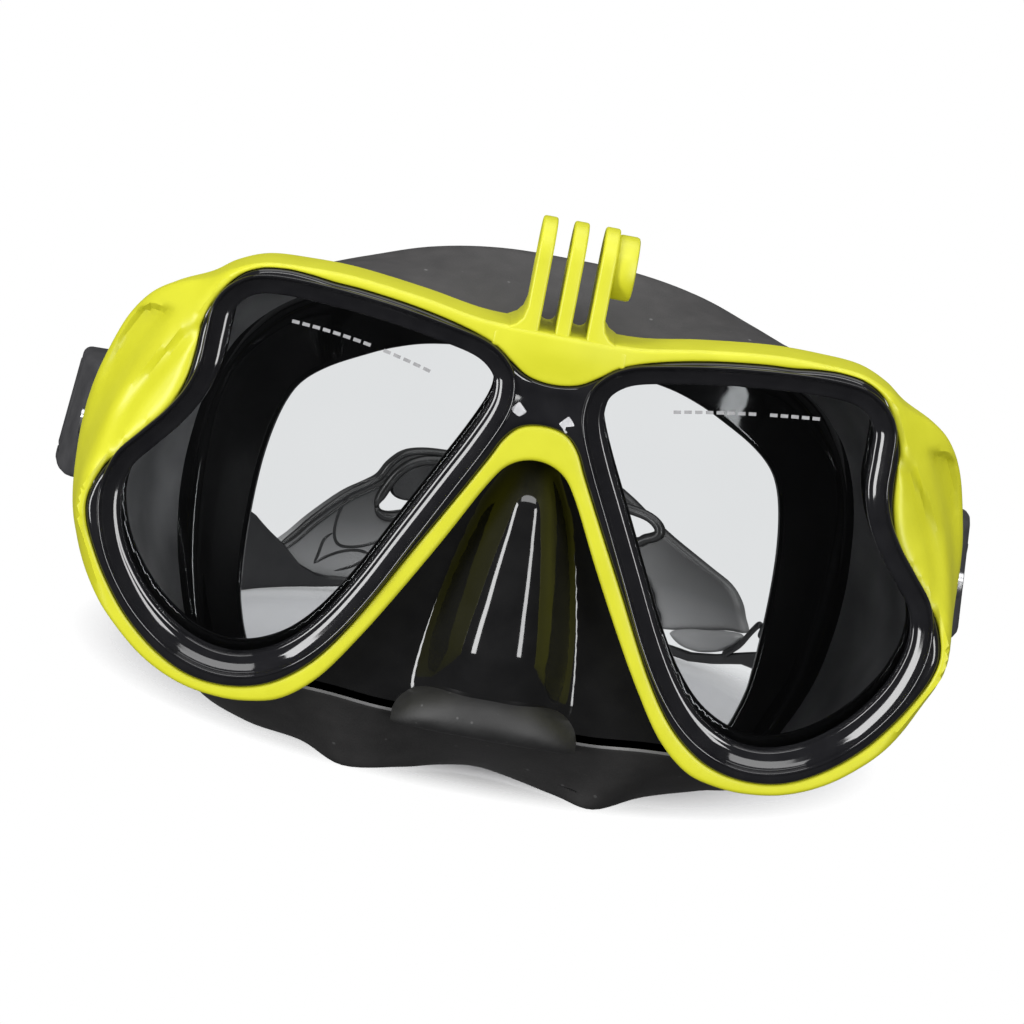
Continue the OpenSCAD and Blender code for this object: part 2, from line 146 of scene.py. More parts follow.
# right halves of the outlines, x and z
FRAME = [
    (0, 101.6), (9, 101.6), (17, 101.9), (28, 103.7), (42, 105.3), (52, 105.4),
    (60, 104.8), (66, 102.4), (70.5, 99.2), (77, 96), (82, 92), (86, 86), (89, 78),
    (91.4, 69), (92.6, 60), (92.5, 52), (91.3, 45.5), (88.4, 39.8), (84.3, 34),
    (78.6, 27.4), (71, 20.8), (63, 16.8), (55, 15.3), (48, 15.6), (41.4, 17.6),
    (34.8, 23.4), (28.4, 32.9), (22.3, 43.4), (15.3, 56.3), (9, 68.6), (5.2, 73.6), (0, 75.3)
]
BEZEL = [
    (0, 91.2), (5, 92), (9, 94.4), (13, 97.2), (20, 99.6), (30, 101.7), (40, 103),
    (46, 103.4), (51, 104), (56, 104.2), (61, 103.4), (65, 101), (68, 96.6),
    (70.3, 91), (70.7, 85), (71.5, 79), (73.5, 73), (77, 67.7), (81, 63), (85, 57.7),
    (87, 51.7), (86.4, 46.7), (84, 41.2), (80.5, 35.2), (75.5, 28.7), (69, 23),
    (62, 19.2), (55, 18), (48, 18.9), (42, 21.8), (36, 27.3), (30, 36.2), (22, 51.2),
    (15, 64.2), (10, 73.7), (7.5, 78.7), (4.5, 81.7), (0, 82.6)
]
LENS = [
    (12, 91.2), (16, 94), (24, 95.8), (34, 97.4), (46, 98.6), (56, 98.9), (61.5, 97.8),
    (64.8, 94.3), (65.4, 89), (65.8, 82), (67.8, 75.5), (71.3, 69.5), (75.7, 64),
    (79.5, 59), (80.8, 53), (79.8, 46.7), (77, 40.2), (72, 33.4), (66, 28.2),
    (60, 25.2), (54, 24.2), (48, 25.4), (42, 29), (36.5, 35.2), (31, 44.2),
    (25, 56.2), (19, 68.2), (14.5, 77.2), (11.6, 84), (11, 88)
]
frame_loop = smooth_loop(mirrored(FRAME), 6)
frame_loop[:, 0] -= 1.1 * np.clip((frame_loop[:, 0] - 78) / 12, 0, 1)
bezel_loop = smooth_loop(mirrored(BEZEL), 6)
lens_right = smooth_loop(LENS, 8)
lens_left = (lens_right * [-1, 1])[::-1]


# ---------- meshes ----------

def new_object(name, verts, faces, body, smooth=35, material=None):
    mesh = bpy.data.meshes.new(name)
    mesh.from_pydata([world(*v) for v in verts], [], [tuple(int(i) for i in f) for f in faces])
    mesh.validate()
    bm = bmesh.new()
    bm.from_mesh(mesh)
    bmesh.ops.recalc_face_normals(bm, faces=bm.faces)
    bm.to_mesh(mesh)
    bm.free()
    for p in mesh.polygons:
        p.use_smooth = True
    if smooth is not None:
        mesh.set_sharp_from_angle(angle=math.radians(smooth))
    obj = bpy.data.objects.new(name, mesh)
    bpy.context.scene.collection.objects.link(obj)
    if material:
        mesh.materials.append(material)
    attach(obj, body)
    return obj


def flat(p, y):
    """Points x, z stood up at their depth y."""
    return np.c_[p[:, 0], y, p[:, 1]]


def relief(name, outer, holes, creases, height, back, body, material, spacing=1.3, smooth=35,
           place=flat):
    """A plate with a modelled front: height gives the front's y at x, z and back gives its back."""
    pts, edges = [], []

    def add(line, closed):
        start = len(pts)
        pts.extend([Vector((float(q[0]), float(q[1]))) for q in line])
        n = len(line)
        edges.extend((start + i, start + (i + 1) % n) for i in range(n if closed else n - 1))

    add(outer, True)
    for h in holes:
        add(h, True)
    for line, closed in creases:
        add(line, closed)
    lo, hi = outer.min(0), outer.max(0)
    gx, gz = np.meshgrid(np.arange(lo[0], hi[0], spacing), np.arange(lo[1], hi[1], spacing))
    gx[::2] += spacing / 2
    grid = np.c_[gx.ravel(), gz.ravel()]
    ok = inside(grid, outer) & (distance(grid, outer) > spacing * 0.5)
    for h in holes:
        ok &= ~inside(grid, h) & (distance(grid, h) > spacing * 0.5)
    for line, closed in creases:
        ok &= distance(grid, line, closed) > spacing * 0.35
    pts.extend(Vector((float(q[0]), float(q[1]))) for q in grid[ok])
    co, _, tris, *_ = delaunay_2d_cdt(pts, edges, [], 0, 1e-4)
    co = np.array([tuple(c) for c in co])
    tris = np.array([t for t in tris if len(t) == 3])
    mid = co[tris].mean(1)
    keep = inside(mid, outer)
    for h in holes:
        keep &= ~inside(mid, h)
    tris = tris[keep]
    used = np.unique(tris)
    index = -np.ones(len(co), int)
    index[used] = np.arange(len(used))
    co, tris = co[used], index[tris]
    n = len(co)
    front = place(co, height(co))
    rear = place(co, back(co))
    count = {}
    for t in tris:
        for a, b in ((t[0], t[1]), (t[1], t[2]), (t[2], t[0])):
            count.setdefault((min(a, b), max(a, b)), []).append((a, b))
    walls = []
    for both in count.values():
        if len(both) == 1:
            a, b = both[0]
            walls.append((b, a, a + n, b + n))
    faces = [tuple(t) for t in tris] + [tuple(q + n for q in t[::-1]) for t in tris] + walls
    return new_object(name, np.concatenate([front, rear]), faces, body, smooth, material)


def loft(name, rings, body, material, closed=False, cap=False, smooth=None):
    """A skin over rings of points, each ring a closed loop of x, y, z."""
    m, n = len(rings), len(rings[0])
    verts = np.concatenate(rings)
    faces = []
    for j in range(m if closed else m - 1):
        k = (j + 1) % m
        for i in range(n):
            faces.append((j * n + i, j * n + (i + 1) % n, k * n + (i + 1) % n, k * n + i))
    if cap:
        faces.append(tuple(range(n))[::-1])
        faces.append(tuple((m - 1) * n + i for i in range(n)))
    return new_object(name, verts, faces, body, smooth, material)


def block(name, size, centre, body, material, bevel=0.4, segments=3, turn=None):
    """A box with rounded edges."""
    bm = bmesh.new()
    bmesh.ops.create_cube(bm, size=1)
    bmesh.ops.scale(bm, vec=Vector(size), verts=bm.verts)
    bmesh.ops.bevel(bm, geom=list(bm.edges), offset=bevel, segments=segments, affect="EDGES",
                    profile=0.5)
    if turn is not None:
        bmesh.ops.rotate(bm, cent=(0, 0, 0), matrix=turn, verts=bm.verts)
    bmesh.ops.translate(bm, vec=Vector(centre), verts=bm.verts)
    verts = [tuple(v.co) for v in bm.verts]
    faces = [tuple(v.index for v in f.verts) for f in bm.faces]
    bm.free()
    return new_object(name, verts, faces, body, 40, material)


# ---------- materials ----------

PLASTIC_IOR = 1.5
GRAIN_DEPTH = 0.0002
WHITE, BLACK = (1, 1, 1), (0, 0, 0)


def node(nt, kind, inputs=(), **settings):
    """A new shader node, each input given a value or the socket that feeds it."""
    made = nt.nodes.new("ShaderNode" + kind)
    for key, value in settings.items():
        setattr(made, key, value)
    for key, value in dict(inputs).items():
        if isinstance(value, bpy.types.NodeSocket):
            nt.links.new(value, made.inputs[key])
        else:
            made.inputs[key].default_value = value
    return made


def colours(nt, factor, *stops):
    """A colour ramp read at a factor; each stop is a position and a colour."""
    made = node(nt, "ValToRGB", {"Fac": factor})
    marks = made.color_ramp.elements
    for k in (0, -1):
        marks[k].position = stops[k][0]
        marks[k].color = (*stops[k][1], 1)
    for position, colour in stops[1:-1]:
        marks.new(position).color = (*colour, 1)
    return made.outputs["Color"]


def new_material(name):
    mat = bpy.data.materials.new(name)
    mat.use_nodes = True
    return mat, mat.node_tree, mat.node_tree.nodes["Principled BSDF"]


def coordinates(nt):
    return node(nt, "TexCoord").outputs["Object"]


def material(name, dark, light, rough=(0.3, 0.4), scale=300, bump=0.1, bump_scale=900,
             metallic=0.0, specks=None):
    """A surface whose colour and gloss wander a little, with a fine grain and optional specks."""
    mat, nt, shader = new_material(name)
    shader.inputs["Metallic"].default_value = metallic
    shader.inputs["IOR"].default_value = PLASTIC_IOR
    where = coordinates(nt)
    cloud = node(nt, "TexNoise", {"Scale": scale, "Detail": 4, "Vector": where}).outputs["Fac"]
    colour = colours(nt, cloud, (0.3, dark), (0.7, light))
    if specks:
        often, size, tint = specks
        dots = node(nt, "TexVoronoi", {"Scale": often, "Vector": where})
        spot = colours(nt, dots.outputs["Distance"], (size, WHITE), (size + 0.03, BLACK))
        colour = node(nt, "Mix", {"Factor": spot, "A": colour, "B": (*tint, 1)},
                      data_type="RGBA").outputs["Result"]
    nt.links.new(colour, shader.inputs["Base Color"])
    gloss = node(nt, "MapRange", {"Value": cloud, "To Min": rough[0], "To Max": rough[1]})
    nt.links.new(gloss.outputs["Result"], shader.inputs["Roughness"])
    grain = node(nt, "TexNoise", {"Scale": bump_scale, "Detail": 3, "Vector": where})
    relief_node = node(nt, "Bump", {"Strength": bump, "Distance": GRAIN_DEPTH,
                                    "Height": grain.outputs["Fac"]})
    nt.links.new(relief_node.outputs["Normal"], shader.inputs["Normal"])
    return mat


def height_factor(nt, low, high):
    """A 0 to 1 value rising between two heights, in metres."""
    split = node(nt, "SeparateXYZ", {"Vector": coordinates(nt)})
    level = node(nt, "MapRange", {"Value": split.outputs["Z"], "From Min": low, "From Max": high})
    return level.outputs["Result"]


def painted_shade_below(mat, low, high, share):
    """Painted shade: the material's colour falls to a share of itself toward the bottom."""
    nt = mat.node_tree
    base = nt.nodes["Principled BSDF"].inputs["Base Color"]
    shade = colours(nt, height_factor(nt, low, high), (0, (share,) * 3), (1, WHITE))
    mix = node(nt, "Mix", {"A": base.links[0].from_socket, "B": shade, "Factor": 1},
               data_type="RGBA", blend_type="MULTIPLY")
    nt.links.new(mix.outputs["Result"], base)


def pad_grey_painted_floor_reflection(name):
    """Grey back pad, light at its lower edge and dark at its upper band: a painted reflection of the
    white floor.
    """
    mat = material(name, (0.2, 0.2, 0.2), (0.22, 0.22, 0.22), (0.3, 0.4), scale=90, bump=0.1,
                   bump_scale=1500)
    nt = mat.node_tree
    # painted reflection of the white floor: the grey falls from light low on the pad to near black high
    # up, with a little wobble
    wobble = node(nt, "TexNoise", {"Scale": 40, "Vector": coordinates(nt)})
    level = node(nt, "Math", {0: wobble.outputs["Fac"], 1: 0.12,
                              2: height_factor(nt, 0.004, 0.029)}, operation="MULTIPLY_ADD")
    shade = colours(nt, level.outputs["Value"], (0.05, (0.33,) * 3), (0.6, (0.10,) * 3),
                    (0.98, (0.022,) * 3))
    nt.links.new(shade, nt.nodes["Principled BSDF"].inputs["Base Color"])
    return mat


def glass_material():
    """Clear glass that shades what is behind it a little and reflects by its angle."""
    mat, nt, shader = new_material("clear_glass")
    nt.nodes.remove(shader)
    cloud = node(nt, "TexNoise", {"Scale": 60, "Vector": coordinates(nt)})
    tint = colours(nt, cloud.outputs["Fac"], (0, (0.865, 0.875, 0.88)), (1, (0.88, 0.888, 0.893)))
    clear = node(nt, "BsdfTransparent", {"Color": tint})
    shine = node(nt, "BsdfGlossy", {"Roughness": 0.02})
    angle = node(nt, "Fresnel", {"IOR": 1.3})
    mix = node(nt, "MixShader", {"Fac": angle.outputs["Fac"], 1: clear.outputs["BSDF"],
                                 2: shine.outputs["BSDF"]})
    nt.links.new(mix.outputs["Shader"], nt.nodes["Material Output"].inputs["Surface"])
    return mat


YELLOW = material("satin_yellow", (0.41, 0.41, 0.010), (0.44, 0.44, 0.013), (0.40, 0.48),
                  scale=120, bump=0.08, bump_scale=1500)
GLOSS = material("gloss_black", (0.006, 0.006, 0.007), (0.009, 0.009, 0.010), (0.05, 0.09),
                 scale=200, bump=0.02, bump_scale=500)
MATTE = material("matte_silicone", (0.035, 0.034, 0.034), (0.045, 0.043, 0.043), (0.55, 0.68),
                 scale=250, bump=0.25, bump_scale=1800, specks=(160, 0.045, (0.12, 0.12, 0.12)))
SHINY = material("glossy_silicone", (0.005, 0.005, 0.0052), (0.008, 0.008, 0.0082), (0.05, 0.09),
                 scale=150, bump=0.03, bump_scale=300)
# painted sheen: a lighter grey copy of the glossy black silicone that stands in for the lamps'
# reflections on the inner wall near the lenses
PAINTED_SHEEN = material("inner_silicone_painted_sheen", (0.09, 0.09, 0.092), (0.20, 0.198, 0.2), (0.25, 0.4),
                 scale=55, bump=0.08, bump_scale=400)
CRESCENT_BLACK = material("crescent_silicone", (0.009, 0.009, 0.009), (0.017, 0.017, 0.017),
                          (0.55, 0.66), scale=200, bump=0.2, bump_scale=1800,
                          specks=(260, 0.05, (0.05, 0.05, 0.05)))
# painted highlight: light grey that stands in for the lamps' reflections in the bridge's hollow
PAINTED_BRIDGE_HIGHLIGHT = material("bridge_painted_highlight", (0.30, 0.30, 0.31), (0.42, 0.42, 0.43), (0.1, 0.2), scale=500,
                 bump=0.02)
# painted shade: the outer skirt darkens toward its bottom
painted_shade_below(MATTE, 0.03, 0.09, 0.3)
# near-black silicone for the pad's lines and rims; on the lines it is partly the strap's own black and
# partly painted shade standing in for grooves
DARK_LINE_AND_GROOVE_SHADE = material("moulded_line_and_painted_groove_shade", (0.006, 0.006, 0.006), (0.02, 0.02, 0.02), (0.25, 0.35),
                scale=200, bump=0.05, bump_scale=900)
STRAP = material("strap_silicone", (0.010, 0.010, 0.011), (0.018, 0.018, 0.019), (0.28, 0.38),
                 scale=200, bump=0.15, bump_scale=1500)
BUCKLE = material("buckle_plastic", (0.03, 0.03, 0.032), (0.045, 0.045, 0.047), (0.35, 0.45),
                  scale=250, bump=0.15, bump_scale=1200)
# grey with a painted reflection of the white floor, for the pad and the tongue
PAD_GREY_PAINTED_REFLECTION = pad_grey_painted_floor_reflection("pad_silicone_painted_reflection")
STEEL = material("steel", (0.5, 0.5, 0.51), (0.62, 0.62, 0.63), (0.22, 0.34), scale=400,
                 bump=0.1, bump_scale=900, metallic=1.0)
PRINT = material("print_grey", (0.19, 0.19, 0.195), (0.25, 0.25, 0.255), (0.5, 0.6), scale=800,
                 bump=0.05)
GLASS = glass_material()


# ---------- outer frame ----------

RIB_LEFT = smooth_path([(71, 99), (73.6, 95), (75.8, 91), (78.8, 85.3), (82.3, 78.4), (85.6, 69),
                        (87.6, 60.6), (88.7, 53), (89, 46)], 6)
RIB_RIGHT = smooth_path([(69, 94.5), (71.2, 91), (73.4, 87.3), (76, 83), (79, 78), (81.8, 72.6),
                         (84.1, 66.4), (85.2, 60), (86, 52), (86.4, 44)], 6)


def edge_depth(z):
    """Y of the wing's outer edge at a height."""
    return np.interp(z, [26, 32, 38, 44, 52, 60, 69, 78, 86, 92, 97, 101],
                     [-1.5, -0.8, 6, 17, 25, 26, 22, 18, 14.5, 11, 6, -1.5])


def soft_edge_depth(z):
    return sum(edge_depth(z + d) for d in (-3, -2, -1, 0, 1, 2, 3)) / 7


def frame_front(p):
    q = np.c_[np.abs(p[:, 0]), p[:, 1]]
    x, z = q[:, 0], q[:, 1]
    d_out = distance(p, frame_loop)
    d_in = distance(p, bezel_loop)
    side = ramp(x, 50, 60)
    deep = -1.5 + (soft_edge_depth(z) + 1.5) * side
    across = np.maximum(d_in + d_out, 1e-6)
    wide = np.clip(d_in / across, 0, 1)
    start = np.clip(1.6 / across, 0, 0.5)
    u = np.clip((wide - start) / (1 - start), 0, 1)
    y = -1.5 + (deep + 1.5) * (0.42 * u + 0.58 * u ** 2)
    # diagonal rib, recess outboard of it below the step line, shallow groove inboard of it
    on = side * ramp(z, 40, 50)
    rib_l = np.interp(-z, -RIB_LEFT[:, 1], RIB_LEFT[:, 0])
    rib_r = np.interp(-z, -RIB_RIGHT[:, 1], RIB_RIGHT[:, 0])
    below = 1 - ramp(z - 91.6 + (x - 75.3) * 0.32, -1.4, 0.9)
    pit = on * below * ramp(x - rib_l, -0.2, 2.6) * (0.3 + 0.7 * ramp(d_out, 0.0, 2.4)) * 4.2
    groove = on * (1 - ramp(np.abs(x - rib_r + 0.4), 0.2, 2.6)) * ramp(z, 52, 70) * (
        1 - ramp(z, 86, 92)) * 1.5
    crown = on * np.exp(-((x - 0.5 * (rib_l + rib_r)) / 2.0) ** 2) * (1 - ramp(z, 84, 92)) * 0.8
    y = y + pit + groove - crown
    # the middle swells into the root of the camera mount
    lobe = np.exp(-(x / 12.5) ** 2) * ramp(z, 90.5, 99)
    y = y - 1.3 * lobe
    fall = round_edge(d_in, 0.7) + round_edge(d_out, 1.1)
    return y + fall


def frame_rear(p):
    q = np.abs(p[:, 0])
    d_in = distance(p, bezel_loop)
    d_out = distance(p, frame_loop)
    u = d_in / np.maximum(d_in + d_out, 1e-6)
    deep = np.where(q > 50, edge_depth(p[:, 1]), -1.5)
    return 10 + np.maximum(deep + 2.5 - 10, 0) * u


outer = relief(
    "outer_frame_look", frame_loop, [bezel_loop],
    [(grow(frame_loop, -d), True) for d in (0.15, 0.4, 0.75, 1.1)]
    + [(grow(bezel_loop, d), True) for d in (0.12, 0.35, 0.7)],
    frame_front, frame_rear, "mask", YELLOW, spacing=0.9)
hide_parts("outer_frame")


# ---------- inner frame ----------

def bezel_front(p):
    q = np.c_[np.abs(p[:, 0]), p[:, 1]]
    d_out = distance(p, bezel_loop)
    y = np.full(len(p), -2.5) + round_edge(d_out, 1.5)
    # the bridge is hollowed between the two surrounds
    hollow = np.exp(-((q[:, 1] - 87.5) / 3.2) ** 2) * (1 - ramp(q[:, 0], 3, 10))
    return y + 1.2 * hollow


SURROUND_GAP = 3.6
outer_lens = [grow(lp, SURROUND_GAP) for lp in (lens_right, lens_left)]
inner = relief(
    "inner_frame_look", grow(bezel_loop, -0.15), outer_lens,
    [(grow(bezel_loop, -0.15 - d), True) for d in (0.1, 0.35, 0.8, 1.5)],
    bezel_front, lambda p: np.full(len(p), 3.0), "mask", GLOSS, spacing=0.9, smooth=50)
# stepped lip round each lens: distance out from the glass's edge and y
LIP = [(-0.35, 2.9), (-0.35, 1.2), (-0.2, 0.35), (0.2, 0.0), (0.7, -0.15), (1.1, -0.3),
       (1.7, -0.72), (2.3, -1.14), (2.9, -1.56), (3.2, -1.9), (3.45, -2.4), (3.7, -2.75), (3.95, -2.75),
       (4.15, -2.4), (4.2, -1.6), (3.9, 2.9)]
for lip_side, lp in (("right", lens_right), ("left", lens_left)):
    rings = [np.c_[g[:, 0], np.full(len(g), y), g[:, 1]]
             for g, y in ((grow(lp, d), y) for d, y in LIP)]
    lip = loft(lip_side + "_lens_surround_look", rings, "mask", GLOSS, closed=True, smooth=55)
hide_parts("inner_frame")


# two light grey pieces on the bridge, painted highlights in place of reflections
for k, (x, z) in enumerate([(-5.8, 85.0), (4.4, 83.9)]):
    bridge_highlight_piece = block("bridge_painted_highlight_look_%d" % k, (2.6, 1.0, 2.6), (x, -1.75, z), "mask", PAINTED_BRIDGE_HIGHLIGHT,
                bevel=0.3, turn=Matrix.Rotation(0.78, 3, "Y"))

# ---------- CAD nodes that stay ----------

def finish_node(name, mat):
    node_data = frame["nodes"][name].data
    node_data.materials.clear()
    node_data.materials.append(mat)


finish_node("mount_nut", STEEL)
for side in ("left", "right"):
    finish_node(side + "_lens", GLASS)
    finish_node(side + "_strap_keeper", STRAP)
    for part in ("_swing_stud", "_roller", "_lever_spring"):
        finish_node(side + part, STEEL)


# ---------- camera mount ----------

FINGER_R, FINGER_T, PITCH = 7.5, 3.0, 6.3
MOUNT_Y, MOUNT_Z = 5.5, 115.8
SCREW_R = 2.5
SHARP_ANGLE = 35
PAST = 20  # how far the cutters reach to each side


def mount_outline(dip):
    """Front view of the three fingers with round-bottomed slots; dip lowers the slot floors."""
    half = PITCH + FINGER_T / 2
    pts = [(-13.5, 97), (-13.5, 100.2), (-11.2, 101.2), (-9.4, 102.2), (-8.3, 103.6),
           (-half, 105.8), (-half, 126)]
    for s in (-1, 1):
        c, r = s * PITCH / 2, (PITCH - FINGER_T) / 2
        pts.append((c - r, 126))
        pts += [(c - r * math.cos(a), 101.9 - dip + r - r * math.sin(a))
                for a in np.linspace(0, math.pi, 9)]
        pts.append((c + r, 126))
    pts += [(half, 126), (half, 105.8), (8.3, 103.6), (9.4, 102.2), (11.2, 101.2),
            (13.5, 100.2), (13.5, 97)]
    return pts


def applied(obj):
    """The object's modifiers made real."""
    dg = bpy.context.evaluated_depsgraph_get()
    done = bpy.data.meshes.new_from_object(obj.evaluated_get(dg))
    obj.modifiers.clear()
    obj.data = done


def cut(obj, tool, how="DIFFERENCE"):
    b = obj.modifiers.new(how, "BOOLEAN")
    b.operation, b.object, b.solver = how, tool, "EXACT"


def finish_cuts(obj, tools):
    applied(obj)
    for tool in tools:
        bpy.data.objects.remove(tool)


def shade(obj):
    """Smooth shading with the sharper edges kept."""
    for p in obj.data.polygons:
        p.use_smooth = True
    obj.data.set_sharp_from_angle(angle=math.radians(SHARP_ANGLE))


def prism(name, near, far, smooth=35, mat=None):
    """A solid between two outlines of as many points."""
    n = len(near)
    faces = [tuple(range(n)), tuple(range(2 * n - 1, n - 1, -1))]
    faces += [(i, i + n, (i + 1) % n + n, (i + 1) % n) for i in range(n)]
    return new_object(name, near + far, faces, "mask", smooth, mat)


def mount_piece():
    body = prism("camera_mount_look",
                 [(x, MOUNT_Y - FINGER_R - 2, z) for x, z in mount_outline(3.2)],
                 [(x, MOUNT_Y + FINGER_R + 2, z) for x, z in mount_outline(0)], 40, YELLOW)
    # side view: rounded finger ends over a straight stem
    ends = [(MOUNT_Y - FINGER_R * math.cos(a), MOUNT_Z + FINGER_R * math.sin(a))
            for a in np.linspace(0, math.pi, 33)]
    stem = [(MOUNT_Y - FINGER_R, 96)] + ends + [(MOUNT_Y + FINGER_R, 96)]
    bore = [(MOUNT_Y + SCREW_R * math.cos(a), MOUNT_Z + SCREW_R * math.sin(a))
            for a in np.linspace(0, 2 * math.pi, 33)[:-1]]
    tools = [prism(name, [(-PAST, y, z) for y, z in shape], [(PAST, y, z) for y, z in shape])
             for name, shape in (("mount_side_shape", stem), ("mount_bore_shape", bore))]
    cut(body, tools[0], "INTERSECT")
    cut(body, tools[1])
    bev = body.modifiers.new("edges", "BEVEL")
    bev.width, bev.segments, bev.limit_method = 0.55 * MM, 4, "ANGLE"
    bev.angle_limit = math.radians(40)
    bev.harden_normals = False
    finish_cuts(body, tools)
    shade(body)
    return body


mount_look = mount_piece()
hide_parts("camera_mount")


def disc(name, x0, x1, y, z, r, body, mat, hole=0.0, bevel=0.6, sides=64):
    """A round boss along X with rounded rims and an optional hole."""
    prof = [(x0, max(hole, 0.001)), (x0, r - bevel), (x0 + bevel * 0.3, r - bevel * 0.3),
            (x0 + bevel, r), (x1 - bevel, r), (x1 - bevel * 0.3, r - bevel * 0.3),
            (x1, r - bevel), (x1, max(hole, 0.001))]
    rings = [[(x, y + rr * math.cos(a), z + rr * math.sin(a))
              for a in np.linspace(0, 2 * math.pi, sides, endpoint=False)] for x, rr in prof]
    return loft(name, rings, body, mat, closed=True, smooth=40)


boss = disc("nut_boss_look", 7.6, 12.0, MOUNT_Y, MOUNT_Z, 6.5, "mask", YELLOW, hole=4.3, bevel=0.7)


# ---------- skirt ----------

FRONT = [
    (0, 99.5, 10.1), (15, 99.7, 10.1), (30, 101.5, 10.1), (44, 103, 10.1), (56, 102.5, 10.1),
    (65, 100, 10.1), (69.4, 93, 10.1), (71.5, 83, 10.1), (75, 75, 10.1), (80.5, 67, 10.1),
    (84.6, 58, 10.1), (84.8, 50, 10.1), (81.6, 40, 10.1), (75.6, 31, 10.1), (67.5, 21.8, 10.1),
    (55, 18, 10.1), (44, 17.5, 10.1), (33, 17, 10.1), (22, 16, 10.1), (11, 16, 10.1),
    (0, 16, 10.1)
]
BACK_TOP = [
    (0, 109.9, 40), (14, 109.5, 40), (27, 107.2, 41), (38, 103.2, 42), (49, 98, 44),
    (59, 91, 47), (66.5, 83, 50), (71, 75, 53), (73.5, 66, 55), (74.2, 57, 56),
    (74.2, 48, 56), (73.3, 38, 55), (71, 27, 53)
]
# the wavy lower edge hangs a little differently on each side
BACK_LOW_RIGHT = [(66, 16, 50), (57.5, 5.5, 40), (47.5, 4.6, 32), (36, 1.8, 29),
                  (26, 0.15, 19.5), (18, 0.3, 24)]
BACK_LOW_LEFT = [(-66, 12.5, 49), (-59.5, 3.8, 42), (-48.5, 1.5, 33), (-36.5, 1.0, 28),
                 (-27, 0.1, 18.5), (-15, 0.5, 23.5), (-7, 1.2, 28)]
BACK_LOW_MID = [(6.5, 1.4, 28.5)]
EDGE = [
    (0, 88, 37), (12, 88.8, 37), (24, 87.6, 37), (32, 85.2, 37.5), (39, 81.8, 38),
    (45, 78.2, 39), (49.5, 74, 41), (52, 69.5, 42), (53.8, 63, 44), (55, 55, 46),
    (55.5, 46.5, 47), (55.5, 38, 47), (55, 30, 45), (54, 24, 42), (50.4, 16, 37.5),
    (44, 11.5, 34), (37, 9, 30), (29, 9, 26), (21, 11, 23), (11, 15, 23), (0, 17, 24)
]
WALL = 2.2


front_ring = smooth_loop(mirrored(FRONT), 6)
edge_ring = smooth_loop(mirrored(EDGE), 6)
back_right = BACK_TOP + BACK_LOW_RIGHT + BACK_LOW_MID
back_left = [(-p[0], p[1], p[2]) for p in BACK_TOP[1:]] + BACK_LOW_LEFT
back_ring = smooth_loop(back_right + [(0, 1.8, 29.5)] + back_left[::-1], 6)
back_ring[:, 1] = np.maximum(back_ring[:, 1], 0.05)


def between(a, b, t):
    return a * (1 - t) + b * t


def pushed(loop, dy):
    return loop + np.array([0, 0, dy])


outer_side = smooth_path([
    front_ring, grow(between(front_ring, back_ring, 0.35), 0.5),
    grow(between(front_ring, back_ring, 0.7), 0.5), back_ring,
    grow(between(back_ring, edge_ring, 0.25), 0), between(back_ring, edge_ring, 0.6), edge_ring
], 5)
inner_side = smooth_path([
    pushed(grow(edge_ring, 0.4), -1.5), pushed(between(back_ring, edge_ring, 0.6), -1.9),
    pushed(between(back_ring, edge_ring, 0.3), -WALL - 0.8),
    grow(between(front_ring, back_ring, 0.68), -WALL),
    grow(between(front_ring, back_ring, 0.35), -WALL), grow(front_ring, -WALL)
], 5)
skirt_rings = [np.c_[r[:, 0], r[:, 2], r[:, 1]] for r in (*outer_side, *inner_side)]
for r in skirt_rings:
    r[:, 2] = np.maximum(r[:, 2], 0.02)
skirt = loft("skirt_look", skirt_rings, "mask", MATTE, closed=True)
skirt.data.materials.append(SHINY)
skirt.data.materials.append(PAINTED_SHEEN)
ring_size = len(front_ring)
first_inner = len(outer_side)
tube_start = first_inner + 12
# the inner rows take the glossy silicone, and those nearest the lenses the painted sheen
for k, poly in enumerate(skirt.data.polygons):
    row = k // ring_size
    if row >= first_inner - 1:
        poly.material_index = 2 if row >= tube_start else 1
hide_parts("skirt")


NOSE_FOOT = 3.2
FLANGE_Y, FLANGE_T = 10.1, 1.8


def nose_width(z):
    return np.interp(z, [18, 22, 30, 40, 50, 58, 64, 69, 73],
                     [14.6, 14.4, 13.4, 11.8, 9.6, 7.4, 5.4, 3.0, 0.8])


def nose_front(p):
    """The nose pocket rises from the flange like half a cone with soft flanks."""
    x, z = p[:, 0], p[:, 1]
    rise = np.interp(z, [16, 20, 24, 34, 46, 58, 66, 71, 74], [0, 4, 9.5, 12.6, 12.6, 11, 8, 4, 0])
    t = np.clip(np.abs(x) / (nose_width(z) + NOSE_FOOT), 0, 1)
    return FLANGE_Y - (1 - t ** 3) ** 2 * rise


flange_outline = grow(front_ring[:, :2], -0.6)
lens_hole_r = grow(lens_right, -0.5)
lens_hole_l = grow(lens_left, -0.5)
nose_edge = np.array([(nose_width(z) + NOSE_FOOT, z) for z in np.linspace(24, 72, 50)])
nose_edges = [(nose_edge * [s, 1], False) for s in (1, -1)]
flange = relief("nose_pocket_look", flange_outline, [lens_hole_r, lens_hole_l],
                nose_edges, nose_front, lambda p: nose_front(p) + FLANGE_T, "mask",
                SHINY, spacing=1.0, smooth=None)
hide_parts("nose_pocket")

